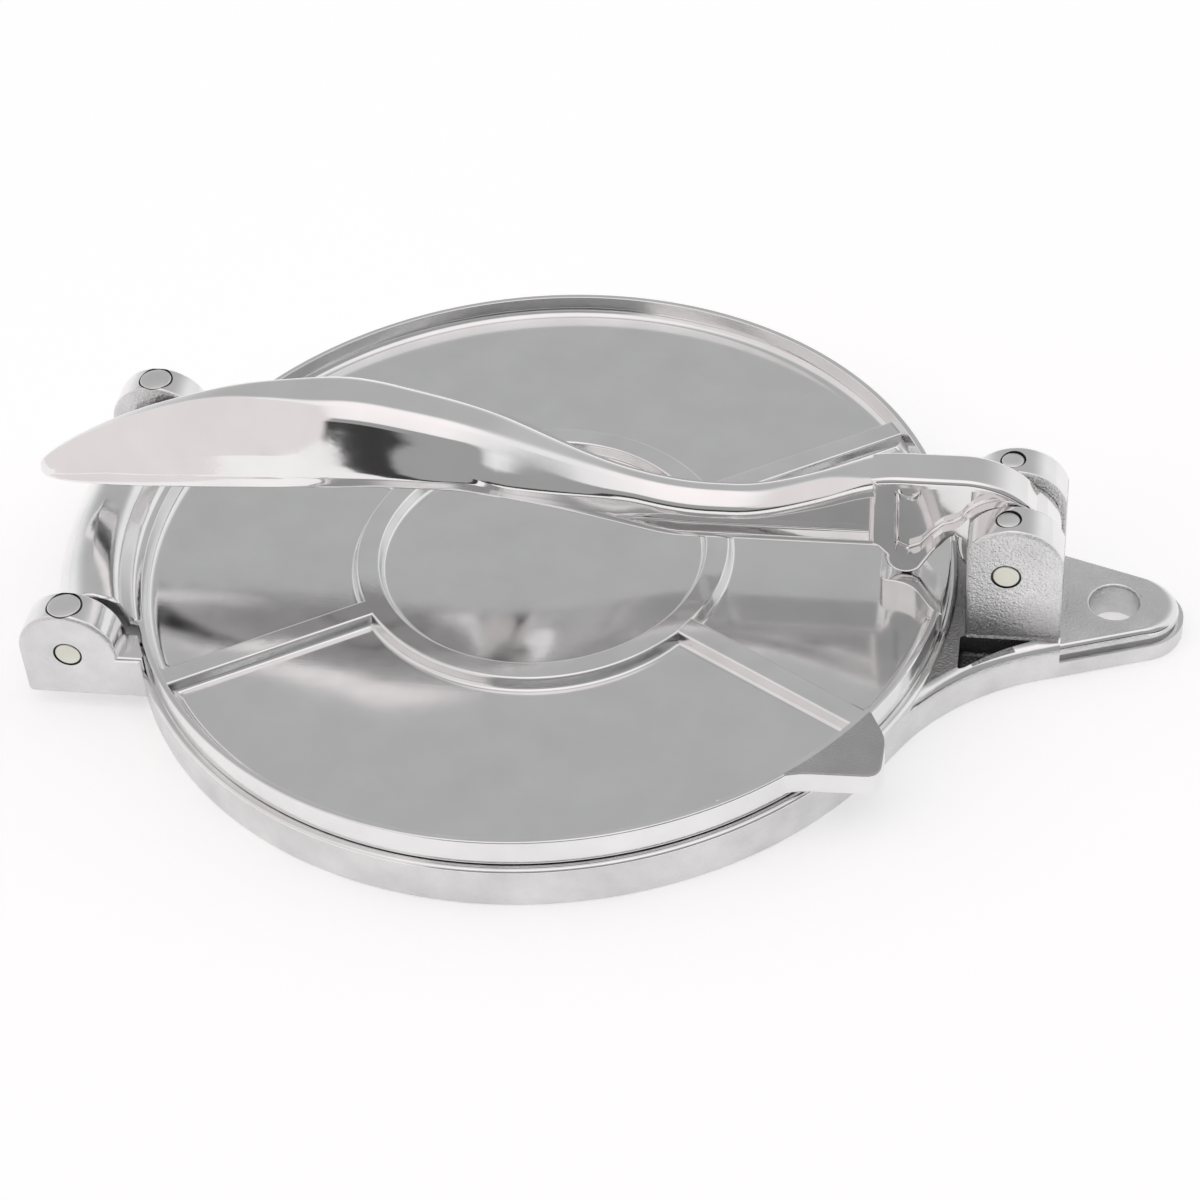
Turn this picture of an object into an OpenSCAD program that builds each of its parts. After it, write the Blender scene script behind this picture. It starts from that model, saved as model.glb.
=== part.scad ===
// Cast aluminium tortilla press: a base with a hanging tab, a hinged lid and a folding lever.
// The origin is the centre of the base on the table. +X points to the lever hinge, +Z is up.

/* [Pressing plates] */
// Radius of the lid, half the size that the press is sold by
lid_r = 101.6; // [95:0.2:110]
// How far the base's edge stands out past the lid's
base_lip = 1.8; // [1:0.1:3]
// Height of the base from the table to its pressing face
base_h = 11.6; // [10.5:0.1:14]
// Gap between the two pressing faces when the lid is shut
platen_gap = 0.3; // [0.2:0.05:1]
// Thickness of the lid's floor
lid_floor_t = 2.3; // [1.8:0.1:3]
// Height of the lid's rim above its floor
lid_rim_h = 5; // [4.5:0.1:6]
// Width of the flat top of the lid's rim
lid_rim_w = 1.6; // [1.2:0.1:3]
// How far a raised wall leans out from its top edge to its foot
wall_draft = 1; // [0.4:0.1:1.4]

/* [Lid stiffeners] */
// Inner radius of the raised ring in the lid's middle
ring_r = 41; // [34:0.5:48]
// Width of the flat top of the raised ring
ring_w = 5.6; // [4:0.1:8]
// Height of the ring and the ribs above the lid's floor
ring_h = 3; // [2:0.1:4]
// Width of the flat top of each rib
rib_w = 5.6; // [4:0.1:8]
// Angle between each rib and the press's long axis
rib_angle = 32.2; // [28:0.1:38]

/* [Lid pad and finger lug] */
// Length of the pad that the lever's cam bears on, inwards from the lid's edge
pad_len = 17; // [14:0.5:20]
// Width of the pad
pad_w = 16; // [13:0.5:18]
// Radius of the pad's rounded corners
pad_corner_r = 3; // [1:0.5:5]
// Distance of the finger lug's end from the centre, along X
lug_x = 90; // [86:0.5:92]
// Distance of the finger lug's side from the centre, along Y
lug_y = 73.6; // [70:0.5:76]
// Radius of the finger lug's corner
lug_corner_r = 3.6; // [2:0.2:6]
// Thickness of the finger lug
lug_t = 6.6; // [4:0.1:7]

/* [Base] */
// Thickness of the base's pressing plate
base_plate_t = 4; // [3:0.1:5]
// Thickness of the base's outer wall
base_wall_t = 3.6; // [3:0.1:5]
// Radius of the foot under the middle of the base
foot_r = 15; // [10:0.5:22]
// Number of stiffening ribs under the base
base_ribs = 6; // [4:1:10]
// Thickness of each rib under the base
base_rib_t = 3; // [2:0.2:4]
// Height of the ribs' lower edges above the table
base_rib_lift = 2.4; // [1:0.1:4]

/* [Lid hinge] */
// Distance from the lid's edge to the axis of the lid's hinge pin
lid_pin_out = 7.9; // [7.6:0.1:8.6]
// Height of the lid's hinge pin above the base's pressing face
lid_pin_up = 6.4; // [6:0.1:7]
// Radius of the lid's hinge pin
lid_pin_r = 3.2; // [2.6:0.1:3.4]
// Distance between the inner faces of the base's two lid ears
lid_ear_gap = 78; // [70:0.5:82]
// Thickness of each lid ear
lid_ear_t = 9.4; // [8:0.1:11]
// Radius of the lid ears' rounded tops
lid_ear_r = 12.4; // [11.5:0.1:12.8]
// Height of the lid ears' lower faces above the table
lid_ear_lift = 4.4; // [3:0.1:6]
// Height of the web that joins each lid ear to the base, above the pressing face
lid_web_up = 5.9; // [4:0.1:6]
// Angle to which the lid opens before its tongue meets the base's edge
lid_open = 110; // [95:1:115]
// Gap between the lid's hinge tongue and each ear
tongue_side_gap = 1.5; // [1:0.1:2.5]
// Radius of the tongue's rounded outer edge
tongue_r = 10; // [9.4:0.1:10.4]
// Distance from the lid's edge to the middle of the tongue's rounded edge
tongue_out = 8.9; // [8.7:0.1:9.4]
// Radius of the tongue's barrel round the pin, where it passes the base
barrel_r = 7.6; // [6.5:0.1:7.8]

/* [Lever hinge] */
// Distance from the lid's edge to the axis of the lever's hinge pin
lever_pin_out = 13.9; // [13.6:0.1:15]
// Height of the lever's hinge pin above the lid's rim
lever_pin_up = 10.8; // [10.4:0.1:12]
// Radius of the lever's hinge pin
lever_pin_r = 3.2; // [2.6:0.1:3.6]
// Thickness of each lever ear
lever_ear_t = 10.2; // [8:0.1:11]
// Length of a lever ear in front of its pin, towards the lid
lever_ear_front = 9.5; // [8:0.1:10]
// Length of a lever ear behind its pin
lever_ear_back = 13.5; // [12.6:0.1:15]
// Radius of the lever ears' rounded tops
lever_ear_r = 12.6; // [11.6:0.1:13]
// Radial clearance of a hinge pin in the piece that turns on it
pin_clearance = 0.06; // [0.02:0.01:0.1]
// Gap between the lever and each lever ear
lever_side_gap = 0.3; // [0.2:0.05:0.6]

/* [Pin locks] */
// Radius of the plugs that lock the lid's hinge pin
lid_lock_r = 4.1; // [3:0.1:4.4]
// Radius of the plugs that lock the lever's hinge pin
lever_lock_r = 2.7; // [2:0.1:3.4]
// Gap between a plug's lower end and the pin
lock_pin_gap = 0.05; // [0.02:0.01:0.2]

/* [Base arm and hanging tab] */
// Height of the arm's rim above the table
arm_h = 10.6; // [9.8:0.1:10.8]
// Angle of the tab's straight sides to the long axis
arm_angle = 19.5; // [17:0.1:22]
// Radius of the hollow curve between the round base and the arm
arm_fillet_r = 60; // [50:1:75]
// Width of the arm's raised rim
arm_rim_w = 3.4; // [3:0.1:4.5]
// Depth of the pocket inside the arm's rim
arm_pocket_d = 5; // [3:0.1:6]
// Height of the hanging tab's top face
tab_h = 9; // [7:0.1:9.4]
// Radius of the hanging tab's round end
tab_r = 11.4; // [10.5:0.1:12.5]
// How far the round end's centre lies beyond the hanging hole's
tab_out = 5.4; // [3:0.1:7]
// Distance from the lever ears' back face to the hanging hole
hole_from_ear = 12.6; // [12:0.1:15]
// Radius of the hanging hole
hole_r = 6; // [4:0.1:6.5]
// How far the tab's top plate is set in from its lower edge
tab_step = 1.2; // [0.6:0.1:2]
// Depth of the groove below the tab's top plate
tab_groove = 1; // [0.5:0.1:1.6]

/* [Lever] */
// Width of the lever's arm and hub
lever_w = 11; // [9:0.2:13]
// Reach of the lever from its pin to the tip of its grip
lever_reach = 242; // [225:1:255]
// Radius of the lever's hub round its pin
hub_r = 12.4; // [10:0.1:12.8]
// Height of the lever's neck above its pin
neck_up = 18.6; // [17:0.1:20]
// Distance from the pin to where the neck starts to fall
neck_from = 26; // [24:0.5:29]
// Height of the arm's slim waist above the pin
waist_up = 8.4; // [7:0.1:10]
// Distance from the pin to the waist
waist_from = 67; // [62:0.5:72]
// Height of the grip's crown above the pin
crown_up = 35.6; // [30:0.1:40]
// Distance from the pin to the crown
crown_from = 162; // [155:1:170]
// Depth of the arm's underside below the pin
arm_drop = 2; // [1:0.1:3]
// Height of the grip's lower edge above the pin, at its middle
grip_up = 15.6; // [12:0.1:18]
// How far the grip's lower edge comes down from its middle to its tip
tip_fall = 10.2; // [6:0.1:12]
// Half the greatest width of the grip
grip_half_w = 13.7; // [11:0.1:16]
// Thickness of the grip's shell
grip_wall = 3; // [2.2:0.1:4]
// Thickness of the grip's tip
tip_t = 2.4; // [1.6:0.1:4]
// Thickness of the web between the lever's flanges
web_t = 5; // [3:0.2:7]
// Thickness of the lever's flanges
flange_t = 3; // [2:0.1:3.6]
// Radius of the cam's round nose
cam_r = 5.1; // [4:0.1:5.6]
// Distance from the pin back to the middle of the cam's nose
cam_back = 24.7; // [23:0.1:25.5]
// Gap between the cam's nose and the lid's pad at rest
cam_gap = 0.3; // [0.2:0.05:0.5]

/* [Hidden] */
$fn = 96;
over = 1;                 // how far a cutter runs past what it cuts
sink = 0.5;               // how far a raised form reaches down into what carries it
press = 0.01;             // how much smaller a press-fit hole is than its pin
base_edge = 0.8;          // bevel round the base's pressing face
lid_edge = 0.5;           // bevel round the lid's edges
round_fn = 180;           // sides of the large round plates

// Heights of the plates
base_r = lid_r + base_lip;
lid_z = base_h + platen_gap;
floor_z = lid_z + lid_floor_t;
ring_z = floor_z + ring_h;
rim_z = floor_z + lid_rim_h;
rim_in_r = lid_r - lid_rim_w;

// Lid hinge
lid_pin_x = -(lid_r + lid_pin_out);
lid_pin_z = base_h + lid_pin_up;
lid_ear_in = lid_ear_gap / 2;
lid_ear_out = lid_ear_in + lid_ear_t;
lid_ear_mid = (lid_ear_in + lid_ear_out) / 2;
tongue_half = lid_ear_in - tongue_side_gap;
tongue_ring_r = lid_r + tongue_out;
tongue_top_z = lid_pin_z + tongue_r;
tongue_flank = 3;         // distance from the lid's edge to the top of the tongue's inner slope
tongue_dip = 2;           // how far that slope's top lies below the tongue's own
lid_swing_gap = 0.7;      // clearance round the lid's edge at the ears' webs
lid_edge_room = 4 * lid_rim_h;
lid_web_l = lid_pin_out + base_wall_t + lid_ear_r;
lid_stop_gap = 0.3;       // gap left between the tongue and the base's edge at lid_open

// Lever hinge
lever_pin_x = lid_r + lever_pin_out;
lever_pin_z = rim_z + lever_pin_up;
lever_ear_in = lever_w / 2 + lever_side_gap;
lever_ear_out = lever_ear_in + lever_ear_t;
lever_ear_mid = (lever_ear_in + lever_ear_out) / 2;
ear_front_x = lever_pin_x - lever_ear_front;
ear_back_x = lever_pin_x + lever_ear_back;
ear_lean = 0.6;           // how far the round top lies in front of the ear's middle
ear_rise = 1.4;           // how far the round top's centre lies above the pin
ear_top_x = (ear_front_x + ear_back_x) / 2 - ear_lean;
ear_top_z = lever_pin_z + ear_rise;
ear_shoulder_z = ear_top_z + lever_ear_r / 3;

// Base arm and hanging tab
plate_z = base_h - base_plate_t;
arm_root_a = 45;          // angle round the base at which the arm's outline starts inside it
hole_x = ear_back_x + hole_from_ear;
tab_x = hole_x + tab_out;
// The arm's straight sides touch the tab's round end, at this distance from the press's centre
arm_side_d = tab_x * sin(arm_angle) + tab_r;

// Finger lug
lug_root = lid_r * cos(45) - 4;
lug_slant = 0.72;         // slope of the lug's hidden inner corner
lug_seat = 0.7;           // share of the rim's width that the lug stays out from the rim's edge

// Lever shape, as distances s from the pin towards the tip and heights above the pin
cam_up = -(lever_pin_up - cam_gap - cam_r);
neck_arc_r = 22.5;        // radius of the round top over the hub
neck_arc_lead = 14.5;     // distance from that round's centre to where the neck starts to fall
hub_step = 1.6;           // how far the hub stands out in front of the round top
notch_up = 2.2;           // height of the notch between the hub and the cam
notch_half = 2;           // half the notch's flat width
cam_tail = 9.5;           // distance from the cam's middle to where the arm's underside starts
cam_slant = [2.4, 2.9];   // run and rise of the cam's sloping front
pocket_lap = 0.7;         // how far the arm's pocket reaches over the start of its underside
pocket_min = 1.2;         // least height of the arm's pocket
low_flange = 0.8;         // thickness of the arm's lower flange as a share of the upper one's
web_rib_half = 2.6;       // half the width of the upright web over the cam
cam_flat = 5;             // length of the recess's lower edge in the cam
cam_flat_dip = 1.2;       // how far that edge slopes down
hub_edge = hub_r + 1;     // where the recess behind the hub starts
notch_z = cam_up + 8.4;   // height of the recess's corner at the notch
recess_top = neck_up - flange_t - 1;
fall_to = 134;            // where the arm's underside has risen to the grip's edge
fall_from = 78;           // where the arm's underside starts to rise
waist_end = waist_from + 5;
spread_from = 88;         // where the arm starts to widen into the grip
spread_to = 130;          // where the grip has its full width
taper_from = 150;         // where the grip starts to narrow to its tip
arm_end = 100;            // where the extruded arm ends inside the grip
shell_from = 96;          // where the swept grip starts inside the arm
hollow_from = 112;        // where the hollow under the grip starts
hollow_to = 142;          // where the hollow has its full depth
stations = 26;            // number of steps along the swept grip
steps = 12;               // number of steps round the grip's section

function ease(t) = let (u = max(0, min(1, t))) u * u * (3 - 2 * u);
function blend(a, b, t) = a + (b - a) * t;
function to_tip(s, from) = max(0, min(1, (s - from) / (lever_reach - from)));

// Height of the lever's upper line at distance s
function top_up(s) =
    s < waist_from ? blend(neck_up, waist_up, ease((s - neck_from) / (waist_from - neck_from)))
    : s < crown_from ? blend(waist_up, crown_up, ease((s - waist_end) / (crown_from - waist_end)))
    : blend(grip_up - tip_fall + tip_t, crown_up, pow(1 - pow(to_tip(s, crown_from), 1.8), 0.8));
// Height of the lever's lower line at distance s
function low_up(s) = blend(-arm_drop, grip_up, ease((s - fall_from) / (fall_to - fall_from)))
    - tip_fall * pow(to_tip(s, taper_from), 1.6);
// Half the lever's width at distance s
function half_w(s) =
    s < taper_from ? blend(lever_w / 2, grip_half_w, ease((s - spread_from) / (spread_to - spread_from)))
    : max(1.2, grip_half_w * pow(1 - pow(to_tip(s, taper_from), 2.2), 0.45));
// How square the section is: low is boxy, 1 is an ellipse
function boxiness(s) = blend(0.3, 0.85, ease((s - spread_from) / (spread_to - spread_from)));
// Height of the hollow under the grip at distance s
function hollow_h(s) = let (room = top_up(s) - low_up(s) - grip_wall)
    max(0.2, room * ease((s - hollow_from) / (hollow_to - hollow_from)));
function hollow_w(s) = max(0.4, half_w(s) - grip_wall);

// One section of the grip: its outer arch from side to side, then the hollow's arch back
function arch(w, h, low, box) =
    [for (i = [0 : steps]) let (a = 180 * i / steps)
        [w * sign(cos(a)) * pow(abs(cos(a)), box), low + h * pow(sin(a), box)]];
function grip_section(s) = let (low = low_up(s), box = boxiness(s))
    concat(arch(half_w(s), top_up(s) - low, low, box),
           [for (i = [steps : -1 : 0]) arch(hollow_w(s), hollow_h(s), low, box)[i]]);

module at_lever_pin() {
    translate([lever_pin_x, 0, lever_pin_z]) children();
}

// A profile drawn as [distance from the pin, height] and made w wide about the middle plane
module lever_slab(w) {
    rotate([90, 0, 0])
        translate([0, 0, -w / 2])
            linear_extrude(w) mirror([1, 0]) children();
}

// A cylinder along Y, centred on x, y, z
module y_rod(x, y, z, r, l) {
    translate([x, y + l / 2, z]) rotate([90, 0, 0]) cylinder(r = r, h = l);
}

// A profile drawn in X and Z, made l thick along Y from y0
module y_slab(y0, l) {
    translate([0, y0 + l, 0]) rotate([90, 0, 0]) linear_extrude(l) children();
}

module both_sides() {
    children();
    mirror([0, 1, 0]) children();
}

// ---------------------------------------------------------------- base

// The arm's outline in plan, set in by inset from the full outline
module arm_outline(inset) {
    side_d = arm_side_d - inset;
    n = [sin(arm_angle), cos(arm_angle)];
    along = [cos(arm_angle), -sin(arm_angle)];
    end = [tab_x, 0] + n * (tab_r - inset);
    root = [base_r * cos(arm_root_a), base_r * sin(arm_root_a) - inset];
    fillet_s = sqrt(pow(base_r + arm_fillet_r, 2) - pow(side_d + arm_fillet_r, 2));
    fillet_c = n * (side_d + arm_fillet_r) + along * fillet_s;
    difference() {
        union() {
            polygon([[root[0], -root[1]], [end[0], -end[1]], end, root]);
            translate([tab_x, 0]) circle(r = tab_r - inset);
        }
        for (side = [-1, 1])
            translate([fillet_c[0], side * fillet_c[1]]) circle(r = arm_fillet_r);
    }
}

module base_disc() {
    rotate_extrude($fn = round_fn)
        polygon([[0, 0], [foot_r, 0], [foot_r + wall_draft, plate_z],
                 [base_r - base_wall_t - wall_draft, plate_z], [base_r - base_wall_t, 0],
                 [base_r, 0], [base_r, base_h - base_edge], [base_r - base_edge, base_h], [0, base_h]]);
    for (i = [0 : base_ribs - 1])
        rotate([0, 0, 360 / base_ribs * (i + 0.5)])
            translate([foot_r - over, -base_rib_t / 2, base_rib_lift])
                cube([base_r - base_wall_t / 2 - foot_r + over, base_rib_t, plate_z - base_rib_lift + over]);
}

module arm_pockets() {
    intersection() {
        translate([0, 0, arm_h - arm_pocket_d])
            linear_extrude(arm_pocket_d + over) arm_outline(arm_rim_w);
        both_sides()
            translate([ear_front_x, lever_ear_out + over, 0])
                cube([ear_back_x - ear_front_x - arm_rim_w / 2, base_r, arm_h + over]);
    }
}

module base_arm() {
    lower_t = tab_h - flange_t - tab_groove;
    difference() {
        linear_extrude(arm_h) arm_outline(0);
        translate([ear_back_x, -base_r, lower_t])
            cube([base_r, 2 * base_r, arm_h]);
        arm_pockets();
        // the base's hollow underside and wall, which the arm stays out of
        translate([0, 0, -over])
            cylinder(r = base_r - base_wall_t / 2, h = plate_z + base_plate_t / 2 + over, $fn = round_fn);
        // the arm's own hollow underside
        translate([0, 0, -over])
            linear_extrude(arm_h - arm_pocket_d - base_plate_t / 2 + over)
                intersection() {
                    arm_outline(arm_rim_w);
                    translate([0, -base_r]) square([ear_back_x - arm_rim_w, 2 * base_r]);
                }
    }
    intersection() {
        union() {
            translate([0, 0, lower_t - sink])
                linear_extrude(tab_groove + 2 * sink) arm_outline(tab_step + tab_groove);
            translate([0, 0, tab_h - flange_t]) linear_extrude(flange_t) arm_outline(tab_step);
        }
        translate([ear_back_x - over, -base_r, 0]) cube([base_r, 2 * base_r, arm_h]);
    }
}

// The space that the lid's round edge needs as it opens
module lid_room() {
    translate([0, 0, base_h])
        cylinder(r = lid_r + lid_swing_gap, h = lid_edge_room, $fn = round_fn);
}

module lid_ears() {
    both_sides()
        difference() {
            union() {
                y_rod(lid_pin_x, lid_ear_mid, lid_pin_z, lid_ear_r, lid_ear_t);
                translate([lid_pin_x - lid_ear_r, lid_ear_in, lid_ear_lift])
                    cube([2 * lid_ear_r, lid_ear_t, lid_pin_z - lid_ear_lift]);
                translate([lid_pin_x, lid_ear_in, lid_ear_lift])
                    cube([lid_web_l, lid_ear_t, base_h + lid_web_up - lid_ear_lift]);
            }
            lid_room();
            translate([lid_pin_x - base_r, 0, -over]) cube([2 * base_r, base_r, lid_ear_lift + over]);
        }
}

module lever_ears() {
    both_sides()
        y_slab(lever_ear_in, lever_ear_t)
            intersection() {
                union() {
                    translate([ear_top_x, ear_top_z]) circle(r = lever_ear_r);
                    translate([ear_front_x, arm_h - over])
                        square([ear_back_x - ear_front_x, ear_shoulder_z - arm_h + over]);
                }
                translate([ear_front_x, 0])
                    square([ear_back_x - ear_front_x, ear_top_z + lever_ear_r]);
            }
}

module base_plate() {
    color([0.80, 0.80, 0.82])
        difference() {
            union() {
                difference() {
                    union() {
                        base_disc();
                        base_arm();
                    }
                    lid_room();
                }
                lid_ears();
                lever_ears();
            }
            y_rod(lid_pin_x, 0, lid_pin_z, lid_pin_r - press, 2 * lid_ear_out + 2 * over);
            y_rod(lever_pin_x, 0, lever_pin_z, lever_pin_r - press, 2 * lever_ear_out + 2 * over);
            both_sides() {
                translate([lid_pin_x, lid_ear_mid, lid_pin_z])
                    cylinder(r = lid_lock_r - press, h = 2 * lid_ear_r);
                translate([lever_pin_x, lever_ear_mid, lever_pin_z])
                    cylinder(r = lever_lock_r - press, h = 2 * lever_ear_r);
            }
            translate([hole_x, 0, -over]) cylinder(r = hole_r, h = tab_h + 2 * over);
        }
}

// ---------------------------------------------------------------- lid

module lid_disc() {
    rotate_extrude($fn = round_fn)
        polygon([[0, lid_z], [lid_r - lid_edge, lid_z], [lid_r, lid_z + lid_edge], [lid_r, rim_z - lid_edge],
                 [lid_r - lid_edge, rim_z], [rim_in_r, rim_z], [rim_in_r - wall_draft, floor_z],
                 [ring_r + ring_w + wall_draft, floor_z], [ring_r + ring_w, ring_z],
                 [ring_r, ring_z], [ring_r - wall_draft, floor_z], [0, floor_z]]);
}

module lid_rib() {
    from = ring_r + ring_w / 2;
    to = lid_r - lid_rim_w / 2;
    low = floor_z - sink;
    foot = rib_w / 2 + wall_draft;
    translate([to, 0, 0])
        rotate([90, 0, -90])
            linear_extrude(to - from)
                polygon([[-foot, low], [foot, low], [foot, floor_z], [rib_w / 2, ring_z],
                         [-rib_w / 2, ring_z], [-foot, floor_z]]);
}

module lid_pad() {
    inner_x = lid_r - pad_len;
    corner_y = pad_w / 2 - pad_corner_r;
    translate([0, 0, floor_z - sink])
        linear_extrude(rim_z - floor_z + sink) {
            translate([inner_x + pad_corner_r, -pad_w / 2])
                square([pad_len - pad_corner_r - lid_rim_w / 2, pad_w]);
            translate([inner_x, -corner_y]) square([pad_corner_r * 2, 2 * corner_y]);
            for (side = [-1, 1])
                translate([inner_x + pad_corner_r, side * corner_y]) circle(r = pad_corner_r);
        }
}

module finger_lug() {
    translate([0, 0, rim_z - lug_t])
        linear_extrude(lug_t) {
            difference() {
                translate([lug_root, -lug_y]) square([lug_x - lug_root, lug_y - lug_root * lug_slant]);
                circle(r = lid_r - lid_rim_w * lug_seat);
                translate([lug_x - lug_corner_r, -lug_y - over])
                    square([lug_corner_r + over, lug_corner_r + over]);
            }
            translate([lug_x - lug_corner_r, -lug_y + lug_corner_r]) circle(r = lug_corner_r);
        }
}

// The hinge tongue: a round-edged roll that follows the lid's edge, and a barrel round the pin
module lid_tongue() {
    reach = 4 * tongue_r;
    difference() {
        intersection() {
            rotate_extrude($fn = round_fn)
                intersection() {
                    union() {
                        translate([tongue_ring_r, lid_pin_z]) circle(r = tongue_r);
                        polygon([[rim_in_r, lid_z], [tongue_ring_r, lid_z], [tongue_ring_r, tongue_top_z],
                                 [lid_r + tongue_flank, tongue_top_z - tongue_dip], [lid_r, rim_z],
                                 [rim_in_r, rim_z]]);
                    }
                    translate([rim_in_r, lid_z]) square([reach, reach]);
                }
            translate([lid_pin_x - reach, -tongue_half, 0]) cube([2 * reach, 2 * tongue_half, reach]);
        }
        // the roll's flat underside, which meets the base's edge when the lid is wide open
        y_slab(-tongue_half - over, 2 * (tongue_half + over))
            translate([lid_pin_x, lid_pin_z])
                rotate(-lid_open)
                    translate([lid_pin_out - base_lip - lid_stop_gap, -reach]) square([reach, 2 * reach]);
    }
    y_rod(lid_pin_x, 0, lid_pin_z, barrel_r, 2 * tongue_half);
}

module lid_plate() {
    color([0.83, 0.83, 0.84])
        difference() {
            union() {
                lid_disc();
                for (a = [rib_angle, -rib_angle, 180 - rib_angle, 180 + rib_angle])
                    rotate([0, 0, a]) lid_rib();
                lid_pad();
                finger_lug();
                lid_tongue();
            }
            y_rod(lid_pin_x, 0, lid_pin_z, lid_pin_r + pin_clearance, 2 * tongue_half + 2 * over);
        }
}

// ---------------------------------------------------------------- lever

// The side view of the lever's hub, cam, neck and arm
module lever_side() {
    arc_c = [neck_from - neck_arc_lead, neck_up - neck_arc_r];
    tail = cam_back + cam_tail;
    front = cam_back - cam_r;
    top_points = [for (i = [0 : 24]) let (s = arc_c[0] + (arm_end - arc_c[0]) * i / 24) [s, top_up(s)]];
    low_points = [for (i = [0 : 12]) let (s = arm_end - (arm_end - tail) * i / 12) [s, low_up(s)]];
    circle(r = hub_r);
    intersection() {
        translate(arc_c) circle(r = neck_arc_r);
        translate([hub_step - hub_r, 0]) square([hub_r + arc_c[0], neck_up]);
    }
    polygon(concat(top_points, low_points,
                   [[cam_back + cam_r, cam_up], [front, cam_up],
                    [front - cam_slant[0], cam_up + cam_slant[1]],
                    [arc_c[0] + notch_half, notch_up], [arc_c[0] - notch_half, notch_up]]));
    translate([cam_back, cam_up]) circle(r = cam_r);
}

// The pocket along the arm's side and the one beside the cam
module lever_pockets_side() {
    arm_from = cam_back + cam_tail - pocket_lap;
    arm_to = spread_from;
    rib_x = cam_back + web_rib_half;
    lower_t = flange_t * low_flange;
    upper = [for (i = [0 : 10]) let (s = arm_from + (arm_to - arm_from) * i / 10) [s, top_up(s) - flange_t]];
    lower = [for (i = [10 : -1 : 0]) let (s = arm_from + (arm_to - arm_from) * i / 10)
                [s, min(low_up(s) + lower_t, top_up(s) - flange_t - pocket_min)]];
    polygon(concat(upper, lower));
    polygon([[rib_x, cam_up], [rib_x - cam_flat, cam_up - cam_flat_dip],
             [hub_edge + cam_slant[0] + over, notch_z], [hub_edge, notch_z + cam_slant[1] + sink],
             [hub_edge, recess_top], [rib_x, recess_top]]);
}

module lever_grip() {
    ring = 2 * (steps + 1);
    points = [for (i = [0 : stations]) let (s = shell_from + (lever_reach - shell_from) * i / stations)
                 for (p = grip_section(s)) [-s, p[0], p[1]]];
    sides = [for (i = [0 : stations - 1]) for (j = [0 : ring - 1]) let (k = (j + 1) % ring)
                 [i * ring + j, i * ring + k, (i + 1) * ring + k, (i + 1) * ring + j]];
    first = [for (j = [0 : steps - 1]) [j, ring - 1 - j, ring - 2 - j, j + 1]];
    base = stations * ring;
    last = [for (j = [0 : steps - 1]) [base + j, base + j + 1, base + ring - 2 - j, base + ring - 1 - j]];
    polyhedron(points, concat(sides, first, last), convexity = 6);
}

module lever_handle() {
    color([0.78, 0.78, 0.80])
        at_lever_pin()
            difference() {
                union() {
                    difference() {
                        lever_slab(lever_w) lever_side();
                        for (side = [-1, 1])
                            translate([0, side * (web_t + lever_w) / 2, 0])
                                lever_slab(lever_w) lever_pockets_side();
                    }
                    lever_grip();
                }
                y_rod(0, 0, 0, lever_pin_r + pin_clearance, lever_w + 2 * over);
            }
}

// ---------------------------------------------------------------- pins and plugs

module lid_hinge_pin() {
    color([0.84, 0.83, 0.76]) y_rod(lid_pin_x, 0, lid_pin_z, lid_pin_r, 2 * lid_ear_out);
}

module lever_hinge_pin() {
    color([0.84, 0.83, 0.76]) y_rod(lever_pin_x, 0, lever_pin_z, lever_pin_r, 2 * lever_ear_out);
}

module lid_pin_lock(side) {
    from = lid_pin_r + lock_pin_gap;
    color([0.72, 0.72, 0.73])
        translate([lid_pin_x, side * lid_ear_mid, lid_pin_z + from])
            cylinder(r = lid_lock_r, h = lid_ear_r - from);
}

module lever_pin_lock(side) {
    from = lever_pin_r + lock_pin_gap;
    color([0.72, 0.72, 0.73])
        translate([lever_pin_x, side * lever_ear_mid, lever_pin_z + from])
            cylinder(r = lever_lock_r, h = ear_top_z + lever_ear_r - lever_pin_z - from);
}

base_plate();
lid_plate();
lever_handle();
lid_hinge_pin();
lever_hinge_pin();
lid_pin_lock(-1);  // lid_pin_lock_near
lid_pin_lock(1);  // lid_pin_lock_far
lever_pin_lock(-1);  // lever_pin_lock_near
lever_pin_lock(1);  // lever_pin_lock_far
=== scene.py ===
# %% [markdown]
# A cast aluminium tortilla press, dressed for the camera.
# The imported model is loaded first as a fixed frame, and its solids are kept, hidden, once castings replace them.
# Everything after this replaces its plain solids with castings that have fillets, draft and a real finish.

# %% Load the frame
import bpy
from math import atan2, cos, hypot, pi, radians, sin, sqrt
from mathutils import Matrix, Vector


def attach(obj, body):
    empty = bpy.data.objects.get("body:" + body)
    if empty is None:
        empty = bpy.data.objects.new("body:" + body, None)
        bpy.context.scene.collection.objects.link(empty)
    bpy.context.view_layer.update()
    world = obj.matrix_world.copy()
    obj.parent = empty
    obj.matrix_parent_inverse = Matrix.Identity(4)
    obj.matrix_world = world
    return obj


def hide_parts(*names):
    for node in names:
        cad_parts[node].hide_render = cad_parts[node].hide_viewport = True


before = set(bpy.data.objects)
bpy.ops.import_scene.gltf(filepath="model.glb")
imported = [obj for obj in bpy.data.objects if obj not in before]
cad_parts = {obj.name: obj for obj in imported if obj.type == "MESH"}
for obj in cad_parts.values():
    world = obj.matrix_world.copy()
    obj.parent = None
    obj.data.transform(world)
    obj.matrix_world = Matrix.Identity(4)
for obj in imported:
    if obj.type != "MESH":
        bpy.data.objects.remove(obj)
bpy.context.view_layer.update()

print("nodes:", ", ".join(sorted(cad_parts)))

# %% [markdown]
# The sizes are the ones that the solids were built from, in millimetres.
# Keeping them by name lets every fillet and cut sit where the part needs it.

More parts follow.
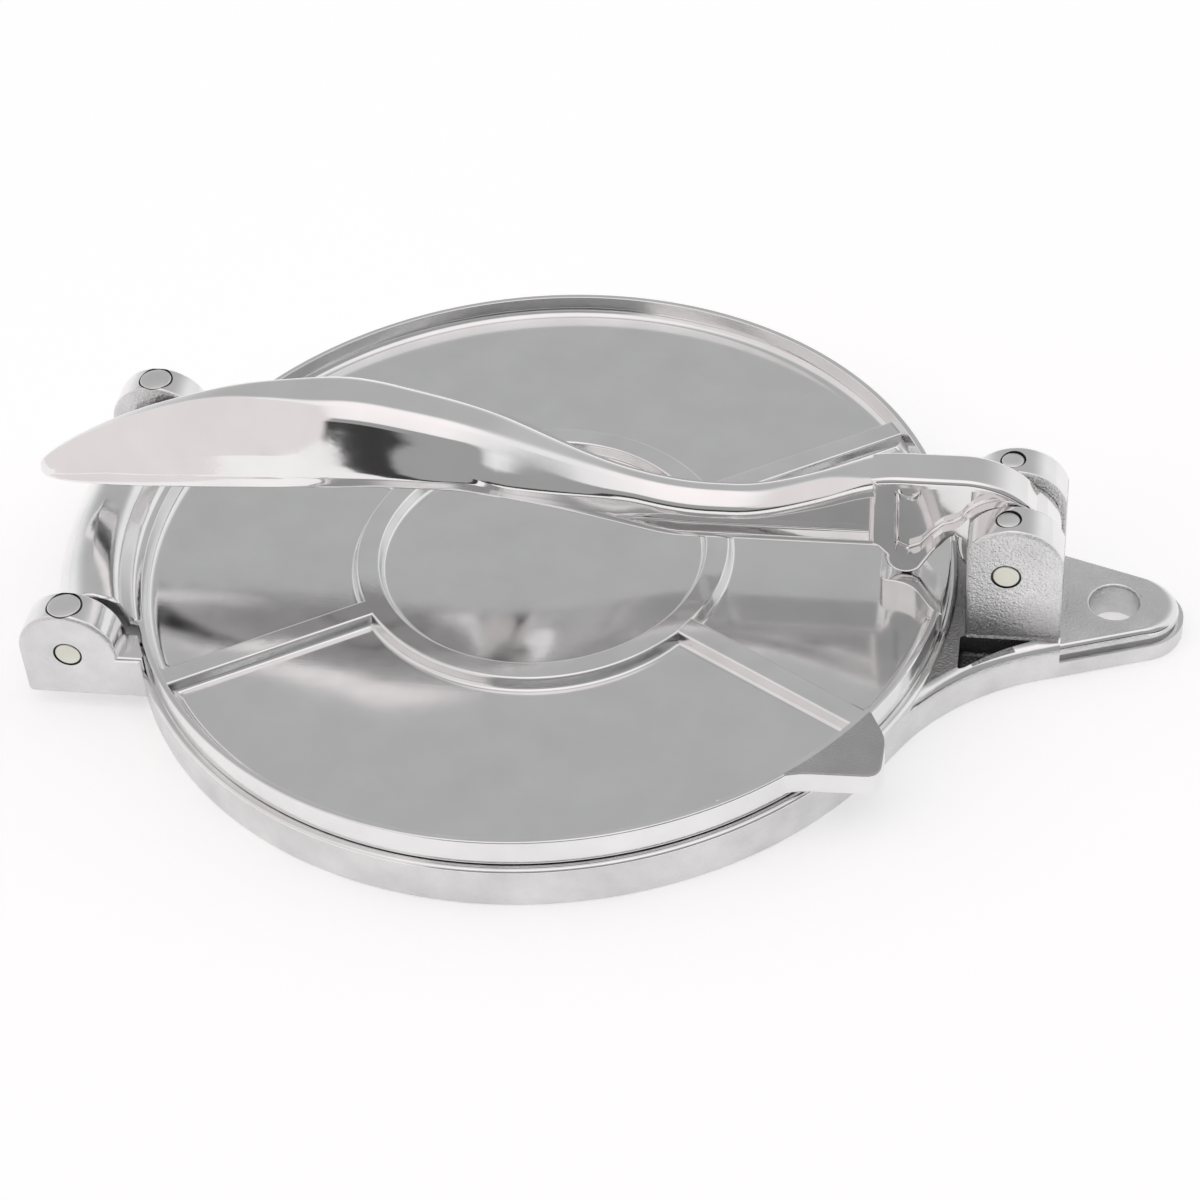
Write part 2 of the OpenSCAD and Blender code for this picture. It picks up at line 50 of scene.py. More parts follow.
# %% Sizes shared by the castings, in mm
MM = 0.001
lid_r = 101.6
base_r = 103.4
base_h = 11.6
lid_z = 11.9
floor_z = 14.2
ring_z = 17.2
rim_z = 19.2
rim_in_r = 100.0
draft = 1.0
lid_pin = Vector((-109.5, 18.0))
lever_pin = Vector((115.5, 30.0))
pin_r = 3.2
pin_clearance = 0.06
plate_z = 7.6
print("lid", 2 * lid_r, "mm across, lever pin", lever_pin.x - lid_pin.x, "mm from the lid's pin")

# %% [markdown]
# Castings have no sharp corners, so most outlines here are drawn with plain corners first and then softened.
# Each corner gives how far back its curve starts, and a short curve takes the corner's place.
# The same helper makes a convex edge and a concave fillet, because both are only a bend in the outline.

# %% Outline helpers
def softened(corners, steps=4, closed=True):
    """Corners are (across, up, cut), and each one becomes a curve that starts cut mm before it."""
    longest = 0.49  # share of an edge that one curve may take, so that two never meet
    points = []
    last = len(corners) - 1
    for i, (x, y, cut) in enumerate(corners):
        here = Vector((x, y))
        if cut == 0 or (not closed and i in (0, last)):
            points.append(here)
            continue
        before = Vector(corners[i - 1][:2]) - here
        after = Vector(corners[(i + 1) % len(corners)][:2]) - here
        start = here + before.normalized() * min(cut, before.length * longest)
        end = here + after.normalized() * min(cut, after.length * longest)
        for k in range(steps + 1):
            t = k / steps
            points.append(start * (1 - t) ** 2 + here * 2 * t * (1 - t) + end * t ** 2)
    return points


def arc(centre, radius, start, end, steps):
    """Points on an arc, with its angles in degrees."""
    angles = [radians(start + (end - start) * k / steps) for k in range(steps + 1)]
    return [Vector((centre[0] + radius * cos(a), centre[1] + radius * sin(a))) for a in angles]


print("a softened square has", len(softened([(0, 0, 1), (4, 0, 1), (4, 4, 1), (0, 4, 1)])), "points")

# %% [markdown]
# An operator acts on all that is selected, so everything is deselected before each new form.
# A form starts as a flat circle with as many points as its outline, the points are moved onto the outline,
# and the face is then extruded, as one would pull up a sketch by hand.

# %% Solid helpers
same_place = 1e-6  # points closer than this, in m, are one


def only(*objects):
    """Selects these objects and no others, and makes the first one active."""
    if bpy.context.mode != "OBJECT":
        bpy.ops.object.mode_set(mode="OBJECT")
    bpy.ops.object.select_all(action="DESELECT")
    for obj in objects:
        obj.select_set(True)
    bpy.context.view_layer.objects.active = objects[0]


def outline_ring(name, places, fill="NGON"):
    """A ring of points at these places, which are (x, y, z) in mm."""
    bpy.ops.object.select_all(action="DESELECT")
    bpy.ops.mesh.primitive_circle_add(vertices=len(places), radius=MM, fill_type=fill)
    ring = bpy.context.object
    ring.name = name
    for vertex, place in zip(ring.data.vertices, places):
        vertex.co = Vector(place) * MM
    return ring


def edit(obj, select="SELECT"):
    """Enters edit mode with all of the mesh selected, or none of it."""
    only(obj)
    bpy.ops.object.mode_set(mode="EDIT")
    bpy.ops.mesh.select_mode(type="VERT")
    bpy.ops.mesh.select_all(action=select)


def select_edges(obj, wanted):
    """Selects the edges whose two ends, in mm, please wanted(a, b)."""
    edit(obj, "DESELECT")
    bpy.ops.mesh.select_mode(type="EDGE")
    bpy.ops.object.mode_set(mode="OBJECT")
    points = [v.co / MM for v in obj.data.vertices]
    for edge in obj.data.edges:
        edge.select = wanted(points[edge.vertices[0]], points[edge.vertices[1]])
    bpy.ops.object.mode_set(mode="EDIT")


def bevel(width):
    """Rounds the selected edges; the width is in mm."""
    bpy.ops.mesh.bevel(offset=width * MM, segments=3, profile=0.5, affect="EDGES", clamp_overlap=False)


def prism(name, outline, low, high, along="Z", bevel_low=0, bevel_high=0):
    """The outline pulled from low to high, along Z as (x, y), Y as (x, z) or X as (y, z)."""
    axis = "XYZ".index(along)

    def place(p, level):
        flat = [p[0], p[1]]
        flat.insert(axis, level)
        return flat

    piece = outline_ring(name, [place(p, low) for p in outline])
    edit(piece)
    pull = Vector((0, 0, 0))
    pull[axis] = (high - low) * MM
    bpy.ops.mesh.extrude_region_move(TRANSFORM_OT_translate={"value": pull})
    bpy.ops.mesh.select_all(action="SELECT")
    bpy.ops.mesh.normals_make_consistent(inside=False)
    for level, width in ((low, bevel_low), (high, bevel_high)):
        if width:
            select_edges(piece, lambda a, b: abs(a[axis] - level) < 1e-3 and abs(b[axis] - level) < 1e-3)
            bevel(width)
    bpy.ops.object.mode_set(mode="OBJECT")
    return piece


def spun(name, outline, steps=192, start=0, turn=360):
    """The outline, drawn as (distance from the axis, height), turned round Z."""
    a = radians(start)
    piece = outline_ring(name, [(p[0] * cos(a), p[0] * sin(a), p[1]) for p in outline], fill="NOTHING")
    if outline[0][0] == 0:
        select_edges(piece, lambda a, b: abs(a.x) + abs(b.x) < 1e-6)
        bpy.ops.mesh.delete(type="EDGE_FACE")
    edit(piece)
    bpy.ops.mesh.spin(steps=steps, angle=radians(turn), center=(0, 0, 0), axis=(0, 0, 1))
    bpy.ops.mesh.select_all(action="SELECT")
    bpy.ops.mesh.remove_doubles(threshold=same_place)
    bpy.ops.mesh.normals_make_consistent(inside=False)
    bpy.ops.object.mode_set(mode="OBJECT")
    return piece


def close_ends(piece):
    """Fills the open ends of a piece and turns its faces outwards."""
    edit(piece, "DESELECT")
    bpy.ops.mesh.select_non_manifold()
    bpy.ops.mesh.fill_holes(sides=0)
    bpy.ops.mesh.select_all(action="SELECT")
    bpy.ops.mesh.normals_make_consistent(inside=False)
    bpy.ops.object.mode_set(mode="OBJECT")


def skin(name, loops):
    """A closed skin over loops of equally many points, which are (x, y, z) in mm, with both ends filled."""
    around = len(loops[0])
    bpy.ops.object.select_all(action="DESELECT")
    bpy.ops.mesh.primitive_grid_add(x_subdivisions=around, y_subdivisions=len(loops) - 1, size=MM)
    piece = bpy.context.object
    piece.name = name
    for i, loop in enumerate(loops):
        for j in range(around + 1):
            piece.data.vertices[i * (around + 1) + j].co = Vector(loop[j % around]) * MM
    edit(piece)
    bpy.ops.mesh.remove_doubles(threshold=same_place)
    close_ends(piece)
    return piece


def turned_about_z(piece, angle):
    """Turns the piece by this many degrees about the upright axis, and keeps the turn in its mesh."""
    piece.rotation_euler.z = radians(angle)
    only(piece)
    bpy.ops.object.transform_apply(rotation=True)
    return piece


def rod(name, centre, radius, low, high, along="Y", chamfer=0, sides=64):
    """A round bar from low to high; centre is (x, z) along Y, and (x, y) along Z."""
    outline = arc(centre, radius, 0, 360 * (1 - 1 / sides), sides - 1)
    return prism(name, outline, low, high, along, chamfer, chamfer)


def combine(piece, others, how="UNION"):
    """Joins the others to the piece, or cuts them from it, and removes them."""
    for other in others:
        only(piece)
        step = piece.modifiers.new("combine", "BOOLEAN")
        step.object = other
        step.operation = how
        step.solver = "MANIFOLD"
        bpy.ops.object.modifier_apply(modifier=step.name)
        bpy.data.objects.remove(other)
    return piece


def mirrored(piece, name):
    """A copy on the other side of the long upright plane, with its own mesh."""
    only(piece)
    bpy.ops.object.duplicate()
    copy = bpy.context.object
    copy.name = name
    edit(copy)
    bpy.ops.transform.mirror(constraint_axis=(False, True, False), center_override=(0, 0, 0))
    bpy.ops.mesh.normals_make_consistent(inside=False)
    bpy.ops.object.mode_set(mode="OBJECT")
    return copy


def settle(piece, sharp=32):
    """Smooth shading that keeps the flat faces flat and the true edges crisp."""
    edit(piece)
    bpy.ops.mesh.remove_doubles(threshold=same_place / 2)
    bpy.ops.mesh.delete_loose()
    bpy.ops.object.mode_set(mode="OBJECT")
    only(piece)
    bpy.ops.object.shade_smooth_by_angle(angle=radians(sharp))
    weigh = piece.modifiers.new("weigh", "WEIGHTED_NORMAL")
    weigh.keep_sharp = True
    bpy.ops.object.modifier_apply(modifier=weigh.name)
    print(piece.name, "has", len(piece.data.polygons), "faces")
    return piece

# %% [markdown]
# The lid is a shallow dish: a flat floor, a raised ring in the middle and a thin rim round the edge.
# All of that is round, so one outline turned about the upright axis gives it, with its fillets drawn in.
# A spin beats stacking discs, because the light then runs round the rim without a break.

# %% Lid dish
ring_in_r = 41.0
ring_out_r = 46.6
lid_profile = softened([
    (0, lid_z, 0), (lid_r, lid_z, 0.7), (lid_r, rim_z, 0.6), (rim_in_r, rim_z, 0.35),
    (rim_in_r - draft, floor_z, 2.4), (ring_out_r + draft, floor_z, 1.0), (ring_out_r, ring_z, 0.7),
    (ring_in_r, ring_z, 0.7), (ring_in_r - draft, floor_z, 1.0), (0, floor_z, 0)], steps=5)
lid = spun("lid_casting", lid_profile)
print("lid profile has", len(lid_profile), "points")

# %% [markdown]
# Four low ribs run from the ring to the rim. Each has sloping sides and a small fillet at its foot.
# The rib's cross-section is drawn once and pulled along X, and then turned to its four places.

# %% Lid ribs
rib_w = 5.6
rib_angle = 32.2
rib_foot = rib_w / 2 + draft
rib_top = ring_z - 0.12
root_z = floor_z - 0.8  # how far down the raised forms reach into the lid
rib_profile = softened([
    (-rib_foot - 2, root_z, 0), (rib_foot + 2, root_z, 0), (rib_foot + 1.5, floor_z - 0.04, 0),
    (rib_foot, floor_z, 0.9), (rib_w / 2, rib_top, 0.6), (-rib_w / 2, rib_top, 0.6),
    (-rib_foot, floor_z, 0.9), (-rib_foot - 1.5, floor_z - 0.04, 0)])
combine(lid, [turned_about_z(prism("rib", rib_profile, ring_out_r - 2.6, lid_r - 1, "X"), angle)
              for angle in (rib_angle, -rib_angle, 180 - rib_angle, 180 + rib_angle)])
print("ribs at", rib_angle, "degrees to the long axis")

# %% [markdown]
# At the lever's end the cam presses on a pad that stands as high as the rim and flares into it.
# Beside it a finger lug sticks out of the rim, so that the lid can be lifted. Both are flat plates with soft
# outlines, so each is a prism, with a bevel round its top edge where a file has broken the corner.

# %% Lid pad and finger lug
pad_in_x = 84.6
pad_side = [(pad_in_x, -7.2, 2.6), (92.5, -8.4, 3.5), (98.2, -17.5, 3), (lid_r - 1, -18.5, 0)]
pad_outline = softened(pad_side + [(x, -y, cut) for x, y, cut in reversed(pad_side)])
pad = prism("pad", pad_outline, root_z, rim_z, bevel_high=0.35)
lug_t = 6.6
lug_x, lug_y = 90.4, 73.4
lug_outline = softened([
    (46, -78, 0), (55.5, -85.0, 0), (67.5, -73.9, 7), (lug_x, -lug_y, 3.8), (90.6, -61, 3), (85.2, -50, 5),
    (84.4, -46, 0)], steps=6)
lug = prism("lug", lug_outline, rim_z - lug_t, rim_z, bevel_low=0.9, bevel_high=0.45)
room_in_dish = rod("room_in_dish", (0, 0), rim_in_r - 0.25, 0, 40, "Z", sides=192)
combine(lug, [room_in_dish], "DIFFERENCE")
combine(lid, [pad, lug])
print("the lug reaches", round(hypot(lug_x, lug_y) - lid_r, 1), "mm past the rim")

# %% [markdown]
# The lid's hinge tongue is a fat roll that follows the round edge, with a straight barrel inside it for the pin.
# A short spin makes the roll, bisecting it leaves two flat ends that face the ears, and a slanted bisect
# underneath leaves room to open the lid wide.

# %% Lid tongue
tongue_half = 37.5
tongue_ring_r = 110.5
tongue_r = 10.0
tongue_top = lid_pin.y + tongue_r
tongue_from = rim_in_r + 0.6
tongue_low = lid_z + 0.3
lid_open = 110
stop_gap = 0.3  # left between the tongue and the base's edge when the lid is wide open
roll = arc((tongue_ring_r, lid_pin.y), tongue_r, -37, 90, 18)
tongue_profile = [Vector((tongue_from, tongue_low)), Vector((117.5, tongue_low))] + roll + softened([
    (tongue_ring_r, tongue_top, 0), (lid_r + 3.4, tongue_top - 1.6, 2.2), (lid_r + 0.4, rim_z + 0.4, 2.0),
    (tongue_from, rim_z, 0)], closed=False)[1:]
tongue = spun("tongue", tongue_profile, steps=48, start=156, turn=-48)


def slice_off(piece, point, normal):
    """Cuts away what lies on the normal's side of the plane, and closes the cut."""
    edit(piece)
    bpy.ops.mesh.bisect(plane_co=Vector(point) * MM, plane_no=normal, use_fill=True, clear_outer=True)
    bpy.ops.object.mode_set(mode="OBJECT")


close_ends(tongue)
for side in (-1, 1):
    slice_off(tongue, (0, side * tongue_half, 0), (0, side, 0))
stop_reach = -lid_pin.x - base_r - stop_gap
stop_way = Vector((cos(radians(lid_open)), 0, -sin(radians(lid_open))))
slice_off(tongue, Vector((lid_pin.x, 0, lid_pin.y)) + stop_way * stop_reach, stop_way)
select_edges(tongue, lambda a, b: abs(abs(a.y) - tongue_half) < 1e-3 and abs(a.y - b.y) < 1e-3)
bevel(0.9)
bpy.ops.object.mode_set(mode="OBJECT")
barrel = rod("barrel", lid_pin, 7.6, -tongue_half + 0.7, tongue_half - 0.7, chamfer=0.3)
combine(lid, [tongue, barrel])
over = 2  # how far a cutter runs past what it cuts
lid_bore = rod("pin_bore", lid_pin, pin_r + pin_clearance, -tongue_half - over, tongue_half + over)
combine(lid, [lid_bore], "DIFFERENCE")
settle(lid)

# %% [markdown]
# The base is a round plate with a skirt, hollow underneath, with a foot in the middle and six thin ribs.
# Nobody sees the underside while the press stands, but it shows when the press is turned over.

# %% Base plate
wall_t = 3.6
foot_r = 15.0
base_profile = softened([
    (0, 0, 0), (foot_r, 0, 0.8), (foot_r + draft, plate_z, 1.8), (base_r - wall_t - draft, plate_z, 2.2),
    (base_r - wall_t, 0, 0.6), (base_r, 0, 0.9), (base_r, base_h, 1.1), (0, base_h, 0)], steps=5)
base = spun("base_casting", base_profile)
wall_mid_r = base_r - wall_t / 2
under_rib = softened([(-1.9, plate_z + 1, 0), (-1.3, 2.4, 0.8), (1.3, 2.4, 0.8), (1.9, plate_z + 1, 0)])
combine(base, [turned_about_z(prism("under_rib", under_rib, foot_r - 1, wall_mid_r, "X"), angle)
               for angle in range(30, 360, 60)])
print("base plate is", base_h, "mm high and", 2 * base_r, "mm across")

# %% [markdown]
# An arm grows out of the round base towards the lever's hinge and ends in a tab with a hole to hang it by.
# Its outline is a hollow curve off the circle, a straight side and the tab's round end, all meeting smoothly.
# The centre of the hollow curve is found from the circle and the straight side, which it has to touch.

# %% Arm outline
arm_angle = 19.5
arm_h = 10.6
hole_x = 141.6
hole_r = 6.0
tab_x = 147.0
tab_r = 11.4
tab_h = 9.0


def arm_outline(inset, back_x=60, pull=0.0):
    """The arm in plan, set in from its full size, from back_x inside the base to the tab's end.
    A pull moves the round end back, and it grows so that the sides still touch it."""
    out = Vector((sin(radians(arm_angle)), cos(radians(arm_angle))))
    along = Vector((out.y, -out.x))
    side_d = tab_x * out.x + tab_r - inset
    big_r = 60.0
    big = out * (side_d + big_r) + along * sqrt((base_r + big_r) ** 2 - (side_d + big_r) ** 2)
    to_base = 180 + 180 * atan2(big.y, big.x) / pi
    half = [Vector((back_x, big.y / big.length * base_r * 0.97))]
    half += arc(big, big_r, to_base, 270 - arm_angle, 16)
    half += arc((tab_x - pull, 0), tab_r - inset + pull * out.x, 90 - arm_angle, 0, 16)
    return half + [Vector((p.x, -p.y)) for p in reversed(half[:-1])]


print("arm outline has", len(arm_outline(0)), "points")

# %% [markdown]
# The arm carries a raised rim with a pocket behind it on each side, and the tab lies a little lower,
# as a plate on a grooved edge. Each of these comes from the same outline, drawn further in each time.
# The tab's top is rounded off far more at its end than along its sides, so it is skinned over rising outlines.

# %% Arm and tab
ear_back_x = 129.0
flange_t = 3.0
tab_low = tab_h - flange_t - 1.0


def block(name, low, high):
    """A box between two corners, only ever used to cut."""
    corners = [(low[0], low[1]), (high[0], low[1]), (high[0], high[1]), (low[0], high[1])]
    return prism(name, corners, low[2], high[2])


arm = prism("arm", arm_outline(0), 0, arm_h, bevel_low=0.6, bevel_high=3.0)
combine(arm, [block("over_tab", (ear_back_x, -60, tab_low), (200, 60, 20)),
              rod("dish_room", (0, 0), wall_mid_r, -1, base_h - 2, "Z", sides=96)], "DIFFERENCE")
arm_hollow = prism("arm_hollow", arm_outline(4.5, 62), -1, 3.4, bevel_high=1.2)
combine(arm_hollow, [block("tab_end", (ear_back_x - 4, -60, -5), (200, 60, 20))], "DIFFERENCE")
combine(arm, [arm_hollow], "DIFFERENCE")
tab_neck = prism("tab_neck", arm_outline(2.2, 110), tab_low - 0.5, tab_low + 1.5)
tab_levels = [(1.7, 0.0, 0.0), (1.2, 0.0, 0.5)]  # how far in, how far back and how high each outline lies
for a in map(radians, range(0, 91, 18)):
    tab_levels.append((2.6 - 1.4 * cos(a), 3.7 * (1 - cos(a)), 0.7 + 2.3 * sin(a)))
tab_top = skin("tab_top", [[(p.x, p.y, tab_h - flange_t + up) for p in arm_outline(inset, 110, pull)]
                           for inset, pull, up in tab_levels])
for plate in (tab_neck, tab_top):
    combine(plate, [block("before_tab", (80, -60, -5), (ear_back_x - 1, 60, 20))], "DIFFERENCE")
combine(arm, [tab_neck, tab_top])
pocket_side = 16.6
pocket_front = 105.0
pocket_edge = [(p.x, p.y, 0) for p in arm_outline(3.7) if p.x > pocket_front and p.y > pocket_side]
pocket_outline = softened([(pocket_edge[-1][0] + 1.5, pocket_side, 0.8), (pocket_front, pocket_side, 1.2),
                           (pocket_front, pocket_edge[0][1] + 1, 0.8)] + pocket_edge)
pocket = prism("pocket", pocket_outline, arm_h - 6, arm_h + 2, bevel_low=1.0)
combine(arm, [pocket, mirrored(pocket, "pocket_near")], "DIFFERENCE")
print("the tab's top lies", arm_h - tab_h, "mm below the arm's rim")

# %% [markdown]
# Four ears hold the two hinge pins. They are side views pulled along Y, with the edges rounded where a
# casting is tumbled. One ear of each pair is made and mirrored.

# %% Hinge ears
lid_ear_in, lid_ear_out = 39.0, 48.4
lever_ear_in, lever_ear_out = 5.8, 16.0
lid_ear_r = 12.4
lid_ear_bottom = 4.4
web_top = 17.5
web_end_x = -91.0
lid_ear_side = softened([
    (web_end_x, lid_ear_bottom, 0), (web_end_x, web_top, 0), (lid_pin.x + lid_ear_r, web_top, 1.4)], closed=False)
lid_ear_side += arc(lid_pin, lid_ear_r, 4, 180, 30) + softened([
    (lid_pin.x - lid_ear_r, lid_pin.y - 1, 0), (lid_pin.x - lid_ear_r, lid_ear_bottom, 1.6),
    (lid_pin.x, lid_ear_bottom, 0)], closed=False)
lid_ear = prism("lid_ear", lid_ear_side, lid_ear_in, lid_ear_out, "Y", bevel_low=0.9, bevel_high=1.1)


def lid_room():
    """The space that the lid's round edge needs as it opens, only ever used to cut."""
    return rod("lid_room", (0, 0), lid_r + 0.7, base_h, 40, "Z", sides=192)


combine(lid_ear, [lid_room()], "DIFFERENCE")
ear_top = Vector((116.9, 31.4))
lever_ear_r = 12.6
ear_front_x = 106.0


def ear_angle(x):
    """Where the round top of a lever ear stands over x, as an angle in degrees."""
    across = x - ear_top.x
    return 180 * atan2(sqrt(lever_ear_r ** 2 - across ** 2), across) / pi


lever_ear_side = [Vector((ear_back_x, arm_h - 2))]
lever_ear_side += arc(ear_top, lever_ear_r, ear_angle(ear_back_x), ear_angle(ear_front_x), 24)
lever_ear_side += [Vector((ear_front_x, arm_h - 2))]
lever_ear = prism("lever_ear", lever_ear_side, lever_ear_in, lever_ear_out, "Y", bevel_low=0.9, bevel_high=1.2)
ear_foot = prism("ear_foot", softened([
    (15.0, arm_h - 1, 0), (15.0, 13, 0), (15.95, 13, 0), (15.95, arm_h + 0.02, 1.0), (17.0, arm_h + 0.02, 0),
    (17.0, arm_h - 1, 0)]), ear_front_x + 0.5, ear_back_x - 0.5, "X")
combine(lever_ear, [ear_foot])
combine(base, [arm])
combine(base, [lid_room()], "DIFFERENCE")
combine(base, [mirrored(lid_ear, "lid_ear_near"), lid_ear, mirrored(lever_ear, "lever_ear_near"), lever_ear])
print("lever ears reach", ear_top.y + lever_ear_r, "mm above the table")

# %% [markdown]
# The pins and their plugs are pressed into bores. A narrow groove is left round each of them at the surface,
# because that fine dark ring is what tells the eye that they are separate pieces. Its walls and floor get a
# near-black painted shade.

# %% Bores in the ears
press = 0.01  # how much smaller a bore is than what is pressed into it
groove = 0.42
pin_groove_depth = 0.45
plug_groove_depth = 1.1
lid_plug_r, lever_plug_r = 4.1, 2.7
lid_ear_mid = (lid_ear_in + lid_ear_out) / 2
lever_ear_mid = (lever_ear_in + lever_ear_out) / 2
# each hinge's pin, the ears' outer side, and the middle, radius and top of its plugs
hinges = {"lid": (lid_pin, lid_ear_out, lid_ear_mid, lid_plug_r, lid_pin.y + lid_ear_r),
          "lever": (lever_pin, lever_ear_out, lever_ear_mid, lever_plug_r, ear_top.y + lever_ear_r)}
bores = []
for pin, outer, mid, plug_r, top in hinges.values():
    bores.append(rod("bore", pin, pin_r - press, -outer - over, outer + over))
    for side in (-1, 1):
        low, high = sorted((side * (outer - pin_groove_depth), side * (outer + over)))
        bores.append(rod("groove", pin, pin_r + groove, low, high))
for side in (-1, 1):
    for pin, outer, mid, plug_r, top in hinges.values():
        place = (pin.x, side * mid)
        bores.append(rod("plug_bore", place, plug_r - press, pin.y, top + 3, "Z"))
        bores.append(rod("plug_groove", place, plug_r + groove, top - plug_groove_depth, top + 3, "Z"))
bores.append(rod("hanging_hole", (hole_x, 0), hole_r, -1, 12, "Z", sides=72))
combine(base, bores, "DIFFERENCE")


def on_hole_edge(a, b):
    """True for the edges round the top of the hanging hole."""
    return all(abs(p.z - tab_h) < 0.01 and abs((p.xy - Vector((hole_x, 0))).length - hole_r) < 0.05
               for p in (a, b))


select_edges(base, on_hole_edge)
bevel(0.8)
bpy.ops.object.mode_set(mode="OBJECT")
settle(base)

# %% [markdown]
# The lever is drawn as a side view. Distances s run from its pin towards the tip of the grip, and heights
# are taken from the pin. Its top line dips to a slim waist, climbs to the crown and falls away to the tip.
# Easing from one value to the next keeps every line free of kinks, which a polished surface would show.

# %% Lever lines
lever_reach = 242.0
neck_s, waist_s = 26, 67             # the neck falls to the waist between these
climb_s, crown_s = 72, 162           # the top climbs to the crown
rise_s, risen_s = 78, 134            # the lower edge rises to the grip
widen_s, wide_s = 88, 130            # the arm widens to the grip
grip_s = 150                         # the grip tapers from here to its tip
neck_up, waist_up, crown_up, tip_up = 18.6, 8.4, 35.6, 7.7
arm_low, grip_low, tip_fall = -2.0, 15.6, 10.2
arm_half, grip_half = 5.5, 13.7


def blend(a, b, t):
    """From a to b as t goes from 0 to 1."""
    return a + (b - a) * t


def ease(t):
    """Goes from 0 to 1 with a soft start and end."""
    u = max(0.0, min(1.0, t))
    return u * u * (3 - 2 * u)


def through(s, *knots):
    """A value that eases from each (s, value) to the next."""
    for (s0, v0), (s1, v1) in zip(knots, knots[1:]):
        if s <= s1:
            return blend(v0, v1, ease((s - s0) / (s1 - s0)))
    return knots[-1][1]


def to_tip(s, start):
    """How far s lies on the way from start to the tip, from 0 to 1."""
    return max(0.0, min(1.0, (s - start) / (lever_reach - start)))


def top_up(s):
    """The crown's height along the middle of the lever."""
    if s < waist_s:
        line = blend(neck_up, waist_up, ease((s - neck_s) / (waist_s - neck_s)))
    elif s < crown_s:
        line = blend(waist_up, crown_up, ease((s - climb_s) / (crown_s - climb_s)))
    else:
        line = blend(tip_up, crown_up, (1 - to_tip(s, crown_s) ** 1.8) ** 0.8)
    return line + through(s, (30, 1.1), (46, 1.7), (122, 1.7), (148, -0.15), (168, 0), (192, 1.2), (242, 0))


def low_up(s):
    """The lower edge: under the arm, up to the middle of the grip, and down to its tip."""
    rise = ease((s - rise_s) / (risen_s - rise_s))
    return blend(arm_low, grip_low, rise) - tip_fall * to_tip(s, grip_s) ** 1.6


def half_w(s):
    """Half the width; beside the hub it is a hair less, so that the skin ends inside the hub."""
    if s < grip_s:
        width = blend(arm_half, grip_half, ease((s - widen_s) / (wide_s - widen_s)))
        return width - 0.04 * (1 - ease((s - 38) / 3))
    return max(1.2, grip_half * (1 - to_tip(s, grip_s) ** 2.2) ** 0.45)


print("crown", round(top_up(crown_s), 1), "mm above the pin, waist", round(top_up(70), 1), "mm")

# %% [markdown]
# A section is half an outline from the crown round to the hollow underneath. It always has the same number
# of points, so that one section can be joined to the next: the side pocket closes where the grip begins,
# and the hollow under the grip opens where the pocket has ended.

# %% Lever sections
web_half = 2.5
grip_wall = 3.0


def lever_section(s):
    """Half the section at s as (out from the middle, up)."""
    top, low, half = top_up(s), low_up(s), half_w(s)
    arm = 1 - ease((s - 92) / 30)
    spoon = ease((s - 142) / 28)
    dome = ease((s - 118) / 18) * (1 - ease((s - 160) / 18))
    crown = through(s, (30, 4.0), (46, 1.5), (92, 1.5), (130, 3.8), (165, 4.6), (207, 1.4), (242, 0.5))
    crown = min(crown, half * 0.8) if s > 100 else crown
    crown_cut = through(s, (30, 1.5), (92, 1.3), (130, 1.5), (170, 1.5), (242, 0.8))
    flank = Vector((crown + (half - crown) * 0.6, blend(low, top, 0.52)))
    side = Vector((half, top - 0.75 * (half - crown) - 1.2 * arm)).lerp(flank, spoon)
    side = side.lerp(Vector((half - 3.6, top - 7.6)), dome)
    arm_shoulder = Vector((half - 0.6, top - 0.75 * (half - 0.6 - crown)))
    shoulder = arm_shoulder * arm + Vector((crown, top)).lerp(side, 0.35) * (1 - arm)
    shoulder = shoulder.lerp(Vector((crown + 3.8, top - 2.9)), dome)
    corner = Vector((half - 0.8 * (1 - arm) * (1 - spoon), low))
    skirt = side.lerp(corner, blend(0.5, 0.06, arm)).lerp(Vector((half - 0.3, low + 3.6)), dome)
    pocket_top = 4.8 + 9.2 * (max(0.0, 96 - s) / 63) ** 2 if s < 96 else low + 3.0
    pocket_low = min(low + through(s, (84, 2.0), (96, 2.4)), blend(low, skirt.y, 0.45))
    depth = (half - web_half) * (1 - ease((s - 82) / 14))

    def on_side(z, inwards=0.0):
        t = max(0.0, min(1.0, (z - corner.y) / (skirt.y - corner.y)))
        return blend(corner.x, skirt.x, t) - inwards

    pocket_top = min(max(pocket_top, pocket_low + 0.4), blend(low, skirt.y, 0.9))
    rows = [
        (0, top, 0), (crown, top - 0.15 * arm, crown_cut), (shoulder.x, shoulder.y, 0.7),
        (side.x, side.y, 0.7 * arm + blend(blend(4.0, 7.0, spoon), 2.0, dome) * (1 - arm)),
        (skirt.x, skirt.y, blend(3.0, 0.2, arm)),
        (on_side(pocket_top), pocket_top, 0.3), (on_side(pocket_top, depth), pocket_top - 0.1 - depth * 0.15, 0.7),
        (on_side(pocket_low, depth), pocket_low + depth * 0.1, 0.7), (on_side(pocket_low), pocket_low, 0.3),
        (corner.x, low, min(0.9, half * 0.4))]
    opened = ease((s - 112) / 30) * (1 - ease((s - 230) / 9))
    inner = max(0.4, half - grip_wall)
    inner_crown = max(0.15, min(inner * 0.6, crown - 0.8))
    roof = max(low, top - grip_wall)
    rows += [
        (inner, low, 0.5), (blend(inner, inner_crown, 0.45), blend(low, blend(low, roof, 0.52), opened), 4.0),
        (inner_crown, blend(low, roof, opened), 2.5), (0, blend(low, roof, opened), 0)]
    return softened(rows, steps=3, closed=False)


print("each half section has", len(lever_section(60)), "points")

# %% [markdown]
# A skin over the sections gives the arm and the grip in one piece, without a seam between them.
# The sections stand closer together near the tip, where the shape turns fastest.

